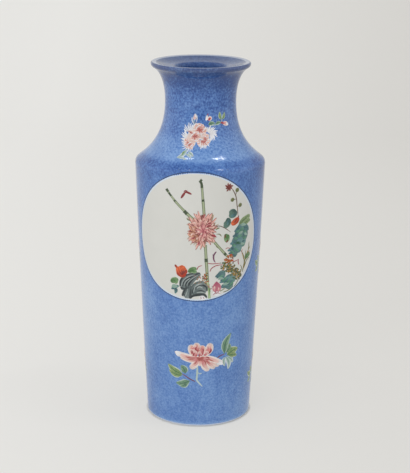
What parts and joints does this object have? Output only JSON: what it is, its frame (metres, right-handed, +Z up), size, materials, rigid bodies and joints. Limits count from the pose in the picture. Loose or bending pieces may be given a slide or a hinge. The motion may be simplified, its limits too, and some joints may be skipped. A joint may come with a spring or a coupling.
{
  "type": "cylindrical vase",
  "caption": "Tall tapering porcelain vase with a sloping shoulder, waisted neck and everted, dished mouth, powder-blue glaze and round white reserves.",
  "frame": {"origin": "centre of the foot ring, on the table", "axes": "+Z up along the vase's axis, -Y towards the middle of the front reserve"},
  "size_m": [0.1426, 0.1426, 0.4],
  "materials": {
    "clay": "unglazed, matt",
    "slip": "unglazed, matt",
    "blue_glaze": "glossy, speckled",
    "white_glaze": "glossy",
    "enamel": "glossy, overglaze enamels in pink, red, green, teal and brown"
  },
  "bodies": {
    "root": {"base_section": "clay", "body_section": "clay", "shoulder_section": "clay", "neck_section": "clay", "lower_luting_slip": "slip", "shoulder_luting_slip": "slip", "neck_luting_slip": "slip", "powder_blue_glaze": "blue_glaze", "mouth_blue_glaze": "blue_glaze", "front_reserve_glaze": "white_glaze", "back_reserve_glaze": "white_glaze", "rim_glaze": "white_glaze", "inner_glaze": "white_glaze", "recess_glaze": "white_glaze"}
  },
  "joints": []
}
